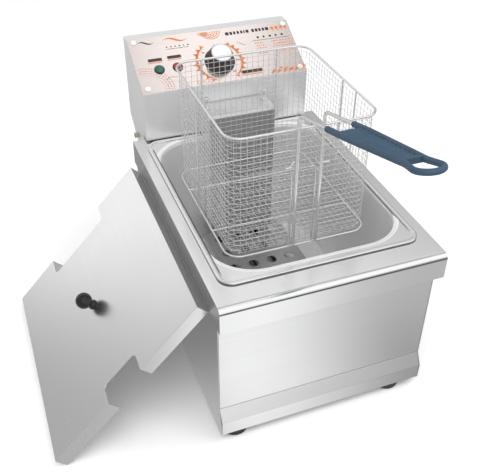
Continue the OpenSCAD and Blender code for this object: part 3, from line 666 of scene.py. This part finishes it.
class Print(Build):
    """Raised ink shapes in the plate's own millimetres: u along it, v up the slope."""

    def shape(self, outline):
        n = len(outline)
        verts = [S(u, v, w) for w in (INK_FOOT, INK_TOP) for u, v in outline]
        faces = [tuple(range(n, 2 * n)), tuple(range(n))[::-1]]
        faces += [(i, (i + 1) % n, n + (i + 1) % n, n + i) for i in range(n)]
        self.add(verts, faces)

    def bar(self, u0, u1, v0, v1, r=0.4):
        self.shape(round_rect(u0, u1, v0, v1, r, 3, 1))

    def dot(self, u, v, r, n=10):
        self.shape(arc(u, v, r, 0, 360, n)[:n])

    def stroke(self, line, widths):
        """Band along a line of points, with one half-width or one for each point."""
        left, right = [], []
        for i, (u, v) in enumerate(line):
            a, b = line[max(i - 1, 0)], line[min(i + 1, len(line) - 1)]
            du, dv = b[0] - a[0], b[1] - a[1]
            size = math.hypot(du, dv) or 1
            w = widths[i] if isinstance(widths, list) else widths
            left.append((u - dv / size * w, v + du / size * w))
            right.append((u + dv / size * w, v - du / size * w))
        self.shape(right + left[::-1])

    def ring(self, cu, cv, r, half, a0, a1, n=40, taper=False):
        widths = half
        if taper:
            widths = [half * (0.25 + 0.75 * math.sin(math.pi * i / n)) for i in range(n + 1)]
        self.stroke(arc(cu, cv, r, a0, a1, n), widths)


def numeral(text, u, v, size):
    """Dial figure as a thin solid shape on the plate."""
    curve = bpy.data.curves.new("figure", "FONT")
    curve.body = text
    curve.size = size * MM
    curve.extrude = 0.035 * MM
    curve.resolution_u = 3
    curve.align_x = curve.align_y = "CENTER"
    holder = bpy.data.objects.new("figure_curve", curve)
    SCENE.collection.objects.link(holder)
    bpy.context.view_layer.update()
    me = bpy.data.meshes.new_from_object(holder)
    bpy.data.objects.remove(holder)
    bpy.data.curves.remove(curve)
    verts = [S(u + p.co.x / MM, v + p.co.y / MM, FIGURE_Z + p.co.z / MM) for p in me.vertices]
    faces = [tuple(f.vertices) for f in me.polygons]
    bpy.data.meshes.remove(me)
    return verts, faces


def polar(cu, cv, r, g):
    return cu + r * math.cos(g), cv + r * math.sin(g)


def print_dial(orange, black, figures):
    """Heat scale round the knob: tapered bands with rays outside them, ticks and figures."""
    ku, kv = DIAL_U, DIAL_V
    rays, foot, wide, fine = 9, 33.6, 0.085, 0.012
    for a0, a1 in ((118, 246), (-62, 60)):
        orange.ring(ku, kv, 32.5, 2.0, a0, a1, 44, True)
        for i in range(rays):
            g = math.radians(a0 + (a1 - a0) * (i + 0.5) / rays)
            tip = 35.0 + 5.6 * (1.0 - 0.5 * abs(i - (rays - 1) / 2) / ((rays - 1) / 2))
            orange.shape([polar(ku, kv, r, g + d) for r, d in (
                (foot, -wide), (tip - 0.8, -fine), (tip, 0.0), (tip - 0.8, fine), (foot, wide))])
    for i, g in enumerate(sweep(232, -52, 24)):
        end, half = (30.4, 0.30) if i % 4 == 0 else (29.8, 0.18)
        black.stroke([polar(ku, kv, r, g) for r in (28.8, end)], half)
    for text, g in zip(("0", "60", "90", "120", "150", "180", "200"), sweep(232, -52, 6)):
        figures.add(*numeral(text, *polar(ku, kv, 26.2, g), 4.2))


def print_labels(orange, black):
    """Label strips with pale blanks, a broken bar with squares, and the rows of small shapes."""
    for u0, u1, v0, v1 in ((-101, -81, 51.4, 56.6), (-73, -53, 52.6, 57.8), (25, 56, 9.6, 15.4)):
        black.bar(u0, u1, v0, v1, 0.6)
        orange.bar(u0 - 0.6, u1 - 1.0, v0 - 2.6, v0 - 1.3, 0.5)
        w = (u1 - u0) / 4
        for k in range(4):
            orange.shape([(u0 + w * k + a, v0 + b)
                          for a, b in ((0.9, 1.2), (w - 1.3, 1.2), (w - 0.9, 2.1), (1.3, 2.1))])
    for u0, u1 in ((21, 26.5), (28, 32), (33.5, 37), (39, 42.5), (44.5, 48), (49.5, 51.5),
                   (53, 57.5), (62, 66), (67.5, 71.5), (73, 76.5), (78.5, 82), (83.5, 88.5)):
        black.bar(u0, u1, 79.4, 85.0, 1.4)
    for u0 in (92, 99, 106, 112.5):
        orange.bar(u0, u0 + 4.4, 79.6, 84.6, 1.0)
        orange.bar(u0 + 1.0, u0 + 5.0, 77.4, 78.3, 0.4)
    for k, u in enumerate((-40, -31.5, -23, -14.5)):
        if k % 2 == 0:
            orange.ring(u, 6.0, 2.3, 0.32, 0, 330, 24)
        else:
            orange.stroke([(u - 2.4, 4.0), (u, 8.2), (u + 2.4, 4.0)], 0.35)
        orange.bar(u - 1.6, u + 1.6, 2.2, 2.8, 0.25)


def print_curves(orange, black, red, grey):
    """Nested arcs, waves, dotted arcs and curling leaves."""
    for k, half in enumerate((0.40, 0.50, 0.60, 0.60, 0.50)):
        r = 4.0 + 3.0 * k
        side = math.degrees(math.asin(1.0 / r))
        orange.ring(-2.5 + k * 0.6, 91.2, r * 0.9, half, 180 + side, 360 - side, 28)
    for r in (3.0, 5.2, 7.4):
        orange.ring(-12.0, 91.4, r, 0.45, 192, 348, 20)
    for pen, u0, u1, v0, rise, half in ((orange, -72, -36, 85.5, 2.8, 1.5),
                                        (black, -109, -85, 85.0, 2.0, 1.1)):
        steps = [i / 24 for i in range(25)]
        pen.stroke([(u0 + (u1 - u0) * t, v0 + rise * (math.sin(2 * math.pi * t) - 0.6 * t))
                    for t in steps],
                   [0.12 + half * math.sin(math.pi * t) ** 1.5 for t in steps])
    for r, pen in ((24.0, grey), (28.0, red), (32.0, red), (36.0, red)):
        for g in sweep(-4, 118, int(r * 0.6) - 1):
            u, v = polar(-112, 6, r, g)
            if -119.5 < u and 2.2 < v:
                pen.dot(u, v, 0.85, 8)
    for g in sweep(62, 134, 6):
        black.stroke([polar(-74.5, 9.5, r, g) for r in (12, 13.7)], 0.42)
    for g in sweep(6, 174, 15):
        grey.dot(-74.5 + 9.4 * math.cos(g), 8.0 + 9.4 * math.sin(g) * 0.8, 0.5, 8)
    for k in range(6):
        u0, size = 68.0 + k * 9.0, 5.2 + 1.3 * ((k * 2) % 3)
        steps = [i / 16 for i in range(17)]
        orange.stroke([(u0 + size * 1.3 * t + 2.0 * math.sin(2.6 * t),
                        3.2 + size * math.sin(math.pi * 0.78 * t)) for t in steps],
                      [0.25 + 1.5 * math.sin(math.pi * (0.12 + 0.86 * t)) for t in steps])
        orange.stroke([(u0 + 1, 3.0), (u0 + 4, 5.4), (u0 + 8.5, 5.8)], [0.25, 0.8, 0.2])
    orange.dot(84, 9.2, 0.9)
    orange.dot(104, 10.6, 0.9)


def print_tables(orange, black):
    """Broken lines left of the dial and a small table of them right of it."""
    rnd = random.Random(5)
    for v, step, half in ((73.0, 6.2, 0.9), (69.4, 2.3, 0.6)):
        u = -70.0
        while u < -38:
            w = min(step * 0.62, rnd.uniform(1.0, 2.4))
            black.bar(u, u + w, v - half, v + half, 0.25)
            u += step
    for k, u in enumerate((66, 75.5, 85, 94.5, 104)):
        black.bar(u, u + 3.4 - 0.6 * (k % 2), 67.2, 70.6, 0.7)
    black.bar(58, 116, 63.4, 64.0, 0.25)
    for row, v in enumerate((59.0, 54.4, 49.8, 44.8, 40.0)):
        for u0, u1 in ((60, 74), (86, 118)):
            u = u0 + (row % 2) * 1.5
            while u < u1:
                w = rnd.uniform(1.4, 3.2)
                orange.bar(u, min(u + w, u1 + 0.9), v - 0.8, v + 0.8, 0.4)
                u += w + rnd.uniform(0.9, 2.4)
    black.stroke([(34, 66.5), (38, 62.8), (42, 60.0), (46, 58.6)], [0.08, 0.28, 0.28, 0.08])


def make_print():
    orange, black, red, grey, figures = (Print() for _ in range(5))
    print_dial(orange, black, figures)
    print_labels(orange, black)
    print_curves(orange, black, red, grey)
    print_tables(orange, black)
    for pen, hue in ((orange, "orange"), (black, "black"), (red, "red"), (grey, "grey")):
        pen.piece("print_" + hue, "head", "ink_" + hue, "printed_plate", (), 0)
    figures.piece("print_figures", "head", "ink_black", "printed_plate", (), 0)


make_print()
make_panel_screws()
make_lamps()
make_gland()
make_posts()
make_elements()
make_bulb()
# The guard plate's darker steel is painted shade inside the tank.
refine("guard_plate", "guard", 0.25)


# ---- knob
def make_knob():
    """Fluted body, bright ring and pale face disc."""
    def flute(t, r, h):
        return -0.06 * max(0.0, math.cos(9 * t)) ** 2 if 4.6 < h < 19.4 else 0

    spots = [S(DIAL_U, DIAL_V)]
    turned("knob_body", "knob", "black", "black_plastic", ["knob"], spots, OUTWARD, [
        (0.1, -12), (2.8, -12), (3.0, -11.7), (3.0, 1.6), (20.9, 1.6), (21.6, 1.8), (21.8, 2.3),
        (21.75, 3.2), (21.4, 3.8), (20.7, 4.0), (20.2, 4.1), (19.9, 4.7), (19.6, 6.0), (18.6, 10.0),
        (17.4, 14.5), (16.7, 17.4), (16.2, 18.6), (15.7, 19.2), (15.0, 19.5), (14.4, 19.5),
        (0.1, 19.45)], 144, 45, flute)
    turned("knob_ring", "knob", "chrome", "dark_metal", (), spots, OUTWARD, [
        (13.9, 19.5), (14.9, 19.52), (15.1, 19.8), (15.0, 20.4), (14.6, 20.75), (14.2, 20.8),
        (13.9, 20.6), (13.9, 19.5)], 96, 50)
    turned("knob_face_disc", "knob", "cap", "knob_face", ["knob_cap"], spots, OUTWARD, [
        (0.1, 19.55), (13.85, 19.55), (13.85, 20.5), (13.2, 20.75), (10.0, 20.95), (6.0, 21.02),
        (0.1, 21.04)], 96, 50)


make_knob()


# ---- basket
def basket_loop(z):
    line = round_rect(-BASKET_X, BASKET_X, -BASKET_Y, BASKET_Y, BASKET_R, 14, 8)
    return [V(BX + x, BY + y, z) for x, y in line]


def wires(build, name, node):
    build.piece(name, "basket", "wire", "wire_chrome", [node], 60)


def make_basket_frame():
    """Rim, base loop with two cross wires, and the upright ribs."""
    rim, base, ribs = Build(), Build(), Build()
    rim.tube(basket_loop(RIM_Z), 1.5, 14, closed=True)
    wires(rim, "rim_wire", "basket_rim")
    base_z = BZ + 1.8
    base.tube(basket_loop(base_z), 1.3, 12, closed=True)
    for y in (-16.6, 81.4):
        base.tube([V(BX + x, y, base_z) for x in (-BASKET_X, -30, 30, BASKET_X)], 1.2, 12)
    wires(base, "base_wires", "basket_base_frame")
    high, low = RIM_Z - 1.6, RIM_Z - 56
    places = [(x, BY + BASKET_Y, high) for x in (-53, 53)]
    places += [(BX + side * BASKET_X, y, high) for side, y in ((-1, 37), (1, 19.5), (1, -15.5))]
    places += [(HANDLE_X + x - 4, BY - BASKET_Y, low) for x in (-HANDLE_S, HANDLE_S)]
    for x, y, top in places:
        zs = (BZ + 3.4, BZ + 4.2, 240, 280, top - 2.0, top)
        ribs.tube([V(x, y, z) for z in zs], [0.6, 1.1, 1.1, 1.1, 1.1, 0.7], 12)
    wires(ribs, "rib_wires", "basket_ribs")


def make_basket_mesh():
    """Woven wire: rows round the walls, and wires down the walls and across the floor."""
    hx, hy, r = BASKET_X - 2.65, BASKET_Y - 2.65, 17.35
    quarter = (hx - r) + (hy - r) + r * math.pi / 2
    per_quarter = 24
    pitch = quarter / per_quarter
    amp, rad, sides, turn = 0.32, 0.33, 5, 4.0
    z0, z1 = BZ + 4.1, RIM_Z - 1.2
    rows, row_0 = 21, z0 + 5.0
    row_p = (RIM_Z - 5.0 - row_0) / (rows - 1)

    def at(x, y, z):
        return V(BX + x, BY + y, z)

    def around(s):
        """Point and outward normal of the walls' loop, at s clockwise from the back's middle."""
        s = s % (4 * quarter)
        q = int(s // quarter)
        t = s - q * quarter
        a, b = (hx - r, hy - r) if q % 2 == 0 else (hy - r, hx - r)
        if t <= a:
            p, n = (t, b + r), (0.0, 1.0)
        elif t <= a + r * math.pi / 2:
            g = (t - a) / r
            p, n = (a + r * math.sin(g), b + r * math.cos(g)), (math.sin(g), math.cos(g))
        else:
            p, n = (a + r, b - (t - a - r * math.pi / 2)), (1.0, 0.0)
        for _ in range(q):
            p, n = (p[1], -p[0]), (n[1], -n[0])
        return p, n

    def mesh_piece(build, name, nodes=()):
        build.piece(name, "basket", "mesh", "wire_mesh", nodes, 80)

    weft, warp, cross = Build(), Build(), Build()
    for k in range(rows):
        path = []
        n = 4 * 4 * per_quarter
        for i in range(n):
            s = 4 * quarter * i / n
            (x, y), (nx, ny) = around(s)
            o = -amp * math.cos(math.pi * s / pitch + math.pi * k)
            path.append(at(x + nx * o, y + ny * o, row_0 + row_p * k))
        weft.tube(path, rad, sides, closed=True, up=(0, 0, 1))
    mesh_piece(weft, "mesh_round_wires")

    def wall(i, x, y, nx, ny, bends):
        """Wire i from the rim down the wall, waving past the rows, and round the lower edge."""
        pts = [at(x + nx * 1.1, y + ny * 1.1, z1)]
        for j in range((rows - 1) * 4, -1, -1):
            o = amp * math.cos(math.pi * j / 4 + math.pi * i)
            pts.append(at(x + nx * o, y + ny * o, row_0 + row_p * j / 4))
        for g in bends:
            d = turn * (1 - math.cos(math.radians(g)))
            z = z0 + turn * (1 - math.sin(math.radians(g)))
            pts.append(at(x - nx * d, y - ny * d, z))
        return pts

    def across_floor(k, lengthways):
        """Wire k: the middle ones go up both walls, the others end in the round corners."""
        c = k * pitch
        along, beside = (hy, hx) if lengthways else (hx, hy)
        over = abs(c) - (beside - r)
        reach = along - turn if over <= 0 else along - r + math.sqrt(r * r - over * over) - 1.6
        n = int(2 * reach / (pitch / 4))
        pts = []
        for j in range(n + 1):
            d = reach - 2 * reach * j / n
            z = z0 + amp * math.cos(math.pi * d / pitch + math.pi * (k if lengthways else k + 1))
            pts.append(at(c, d, z) if lengthways else at(d, c, z))
        if over > 0:
            return pts
        first, last = (wall(k, c, s * along, 0, s, (30, 60)) if lengthways
                       else wall(k, s * along, c, s, 0, (30, 60)) for s in (1, -1))
        return first + pts + last[::-1]

    for build, lengthways, beside, up in ((warp, True, hx, (1, 0, 0)),
                                          (cross, False, hy, (0, 1, 0))):
        most = int((beside - 1.5) / pitch)
        for k in range(-most, most + 1):
            build.tube(across_floor(k, lengthways), rad, sides, up=up)
    mesh_piece(warp, "mesh_long_wires", ["basket_mesh"])
    # Upright wires of the round corners end on the floor.
    for i in range(4 * per_quarter):
        (x, y), (nx, ny) = around(i * pitch)
        if abs(nx) < 1e-6 or abs(ny) < 1e-6:
            continue
        pts = wall(i, x, y, nx, ny, (30, 60, 90))
        pts.append(at(x - nx * (turn + 3), y - ny * (turn + 3), z0 + 0.2))
        cross.tube(pts, rad, sides, up=(-ny, nx, 0))
    mesh_piece(cross, "mesh_cross_wires")


def make_handle():
    """Two wires from the basket up into the grip, and the wires that brace them."""
    legs, clips = Build(), Build()
    wire_r, end_r = 2.0, 1.3
    for x in (HANDLE_X - HANDLE_S, HANDLE_X + HANDLE_S):
        path = [V(x, LEG_Y, z) for z in (BZ + 3.4, BZ + 4.4, 240, 290, 330)]
        path += [V(x, LEG_Y - BEND_R + BEND_R * math.cos(g), BEND_Z + BEND_R * math.sin(g))
                 for g in sweep(0, 90 - math.degrees(HANDLE_A), 8)]
        path += [H(x - HANDLE_X, s) for s in (6, 30, 60, 89, 90)]
        legs.tube(path, [end_r] + [wire_r] * (len(path) - 2) + [1.4], 16)
    wires(legs, "handle_wires", "handle_wire")
    y = BY - BASKET_Y - 0.4
    a, c, za, zc = HANDLE_X - HANDLE_S, HANDLE_X + HANDLE_S, RIM_Z - 48, RIM_Z - 49
    for x0, z0, r, points in (
            (a, za, 1.1, ((-12.8, 0), (-12.2, 0), (-8, 0), (-3.4, 0), (-2.8, 0))),
            (a, za, 0.9, ((-8.5, 0), (-8.0, 0.6), (-5.2, 3.6), (-2.6, 6.6), (-2.2, 7.1))),
            (c, zc, 1.1, ((-3.5, 0), (-2.9, 0), (4, 0), (12.2, 0), (12.8, 0))),
            (c, zc, 0.9, ((-2.4, 0), (-2.7, 0.6), (-4.4, 4.0), (-6.3, 7.4), (-6.6, 7.9)))):
        clips.tube([V(x0 + x, y, z0 + z) for x, z in points], [r * 0.6, r, r, r, r * 0.6], 10)
    wires(clips, "clip_wires", "handle_clips")


def make_grip():
    """Sleeves and an end ring in one run, with a ribbed web between them."""
    b = Build()
    rail, web_s, wide_s, neck_s, neck_x = 3.4, 77.0, 93, 197.0, 10.3
    ring_s, ring_r, ring_rail = 216.5, 13.5, 3.05

    def half(s):
        """Half the distance between the sleeves at s."""
        t = max(0.0, (s - wide_s) / (neck_s - wide_s))
        return HANDLE_S + (neck_x - HANDLE_S) * t

    # Out on one side, round the ring, back on the other.
    side = [(59.0, rail - 0.7), (59.3, rail - 0.2), (60.2, rail)]
    side += [(s, rail) for s in (66, 74, 84, 93, 100, 115, 130, 145, 160, 175, 186)]
    left = [(-half(s), s, r) for s, r in side]
    left += [(-10.55, 192.0, 3.35), (-10.35, 197.0, 3.3), (-10.75, 201.5, 3.2),
             (-11.6, 206.0, 3.1), (-12.6, 211.0, ring_rail)]
    ring = [(-ring_r * math.cos(g), ring_s + ring_r * math.sin(g), ring_rail)
            for g in sweep(0, 180, 24)]
    run = left + ring + [(-x, s, r) for x, s, r in left[::-1]]
    b.tube([H(x, s) for x, s, r in run], [r for x, s, r in run], 20)
    # The web is a plate whose thickness swells at each curved rib.
    rows, s = [], web_s
    while s <= neck_s - 0.2:
        rows.append(s)
        s += 0.7
    cols = [-1 + i / 11 for i in range(23)]

    def thick(s, c):
        if s > neck_s - 7:
            return 2.7
        if s < 80:
            return 0.9 + 0.1 * (s - web_s)
        bow = 5.0 * c * c
        wave = 0.5 + 0.5 * math.cos(2 * math.pi * (s + bow - 88) / 8)
        edge = min(1.0, (1 - abs(c)) / 0.16)
        return 1.1 + 1.35 * wave ** 2 * (0.2 + 0.8 * edge)

    verts = [H(c * (half(s) - 2.0), s, up * thick(s, c))
             for up in (1, -1) for s in rows for c in cols]

    def p(under, j, i):
        return (under * len(rows) + j) * len(cols) + i

    faces = []
    m, n = len(rows) - 1, len(cols) - 1
    for j in range(m):
        for i in range(n):
            faces.append((p(0, j, i), p(0, j, i + 1), p(0, j + 1, i + 1), p(0, j + 1, i)))
            faces.append((p(1, j, i), p(1, j + 1, i), p(1, j + 1, i + 1), p(1, j, i + 1)))
    for i in range(n):
        faces.append((p(0, 0, i), p(1, 0, i), p(1, 0, i + 1), p(0, 0, i + 1)))
        faces.append((p(0, m, i), p(0, m, i + 1), p(1, m, i + 1), p(1, m, i)))
    for j in range(m):
        faces.append((p(0, j, 0), p(0, j + 1, 0), p(1, j + 1, 0), p(1, j, 0)))
        faces.append((p(0, j, n), p(1, j, n), p(1, j + 1, n), p(0, j + 1, n)))
    b.add(verts, faces)
    b.piece("grip_moulding", "basket", "grip", "blue_plastic", ["grip"], 70)


make_basket_frame()
make_basket_mesh()
make_handle()
make_grip()

# ---- lid
# Faces looking up along the lid, its upper flange, take the darker second steel: painted shade.
refine("lid_panel", ["lid", "shade"], 0.7, 3, facing=(math.sin(LEAN), 0, math.cos(LEAN)))
refine("lid_knob_screw", "zinc", 0.4)


def make_ball_knob():
    ball_r, ball_h = 10.6, 14
    profile = [(2.5, 0.05), (5.9, 0.05), (6.5, 0.35), (6.6, 0.9), (6.3, 1.5), (5.8, 2.2),
               (5.6, 3.2), (5.55, 4.2)]
    profile += [(ball_r * math.cos(a), ball_h + ball_r * math.sin(a)) for a in sweep(-58, 90, 26)]
    profile[-1] = (0.1, ball_h + ball_r)
    turned("ball_knob", "lid", "gloss", "black_gloss", ["lid_knob"], [L(-137.8, 155.5)],
           L(0, 0, 1) - L(0, 0, 0), profile, 64, 60)


make_ball_knob()


# ---- stage
def make_stage():
    r = 6.0
    me = bpy.data.meshes.new("floor")
    me.from_pydata([(-r, -r, 0), (r, -r, 0), (r, r, 0), (-r, r, 0)], [], [(0, 1, 2, 3)])
    floor = bpy.data.objects.new("floor", me)
    SCENE.collection.objects.link(floor)
    n = Finish("floor_paper", Roughness=0.9, Specular_IOR_Level=0.1)
    fibre = n.noise(60, seed=40)
    n.shade(Base_Color=n.mix(n.span(fibre, 0, 1), (0.955, 0.955, 0.955), (0.97, 0.97, 0.97)))
    me.materials.append(n.mat)
    floor.visible_glossy = False


def make_world():
    """Studio surroundings as a strength for each direction (x right, y ahead, z up).

    They stand in for the cards and walls of the photo's studio, which the steel mirrors.
    """
    world = bpy.data.worlds.new("studio")
    SCENE.world = world
    world.use_nodes = True
    world.node_tree.nodes.clear()
    n = Nodes(world.node_tree)
    ramp, op = n.ramp, n.math
    direction = n.coord.outputs["Generated"]
    x, y, z = n.new("SeparateXYZ", {0: direction}).outputs

    def blend(fac, a, b):
        return op("ADD", op("MULTIPLY", a, op("SUBTRACT", 1.0, fac)), op("MULTIPLY", b, fac))

    def patch(centre, inner, outer):
        """Soft round patch: full within inner degrees of its centre, nothing beyond outer."""
        near = n.new("VectorMath", {0: direction, 1: Vector(centre).normalized()},
                     operation="DOT_PRODUCT").outputs["Value"]
        inner, outer = (math.cos(math.radians(a)) for a in (inner, outer))
        return ramp(near, outer, inner)

    rear = ramp(y, -0.25, 0.25)
    right = ramp(x, -0.12, 0.20)
    # In front and below: a bright card that fades to the right, dark towards the horizon,
    # and plain grey further out to both sides.
    low_front = ramp(x, 0.227, 0.43, 1.38, 0.27, False)
    low_front = op("ADD", low_front, ramp(z, -0.705, -0.63, 0.0, 0.30))
    low_front = op("MULTIPLY", low_front, ramp(z, -0.80, -0.745, 0.72, 1.0))
    low_front = op("MINIMUM", low_front, 1.12)
    low_front = op("MULTIPLY", low_front, ramp(x, 0.145, 0.20, 0.42, 1.0))
    low_front = blend(ramp(z, -0.58, -0.46), low_front, 0.06)
    low_front = blend(ramp(x, 0.52, 0.75), low_front, 0.50)
    low_front = blend(ramp(x, -0.30, 0.0, 1.0, 0.0), low_front, 0.50)
    # Behind and below: grey on the left, darker in the middle and grey again far right.
    low_left = ramp(z, -0.62, -0.38, 0.25, 0.52, False)
    low_left = op("ADD", low_left, ramp(z, -0.77, -0.71, 0.50, 0.0))
    low_left = blend(ramp(x, -0.55, -0.35, 1.0, 0.0), low_left, 0.42)
    low_rear = blend(right, low_left, ramp(x, 0.30, 0.70, 0.20, 0.48))
    low = blend(rear, low_front, low_rear)
    # Above: bright in front, shaded behind, with a soft bright patch for the control plate.
    high_rear = ramp(z, 0.48, 0.67, 0.50, 1.05, False)
    high_rear = op("SUBTRACT", high_rear, ramp(x, 0.25, 0.60, 0.0, 0.25, False))
    high_rear = blend(ramp(z, 0.72, 0.86), high_rear, 0.34)
    high_front = ramp(x, 0.25, 0.45, 0.95, 0.36, False)
    high_front = blend(ramp(z, 0.12, 0.32), high_front, 1.05)
    high = blend(ramp(y, -0.20, 0.08), high_front, high_rear)
    high = op("ADD", high, patch((0.272, 0.146, 0.951), 1, 9))
    # The horizon between the two lies higher at the right rear.
    lift = op("MULTIPLY", op("MULTIPLY", rear, right), 0.20)
    value = blend(ramp(op("SUBTRACT", z, lift), -0.12, 0.02), low, high)
    # The lid's own band of sky, low on the left.
    lid_sky = ramp(y, 0.70, 0.83, 0.34, 1.15, False)
    lid_sky = op("ADD", lid_sky, ramp(z, 0.0, 0.12, 0.0, 0.22, False))
    lid_sky = op("MINIMUM", lid_sky, 1.0)
    lid_side = op("MULTIPLY", ramp(x, -0.48, -0.34, 1.0, 0.0), ramp(z, -0.12, -0.04))
    value = blend(lid_side, value, lid_sky)
    light = n.new("Background", {"Strength": value, "Color": (0.995, 0.998, 1.0, 1)})
    n.new("OutputWorld", {"Surface": light.outputs["Background"]})


def make_lights():
    """Two soft overhead lights; the surroundings alone show in the steel."""
    for name, place, size, power in (("key", (-1.1, -1.0, 2.4), 2.6, 40),
                                     ("fill", (1.5, -0.3, 2.2), 2.6, 26)):
        data = bpy.data.lights.new(name, "AREA")
        data.shape = "DISK"
        data.size = size
        data.energy = power
        light = bpy.data.objects.new(name, data)
        SCENE.collection.objects.link(light)
        light.location = place
        aim = Vector((0, 0, 0.15)) - light.location
        light.rotation_euler = aim.to_track_quat("-Z", "Y").to_euler()
        light.visible_glossy = False


make_stage()
make_world()
make_lights()
SCENE.view_settings.view_transform = "Standard"
SCENE.view_settings.look = "None"
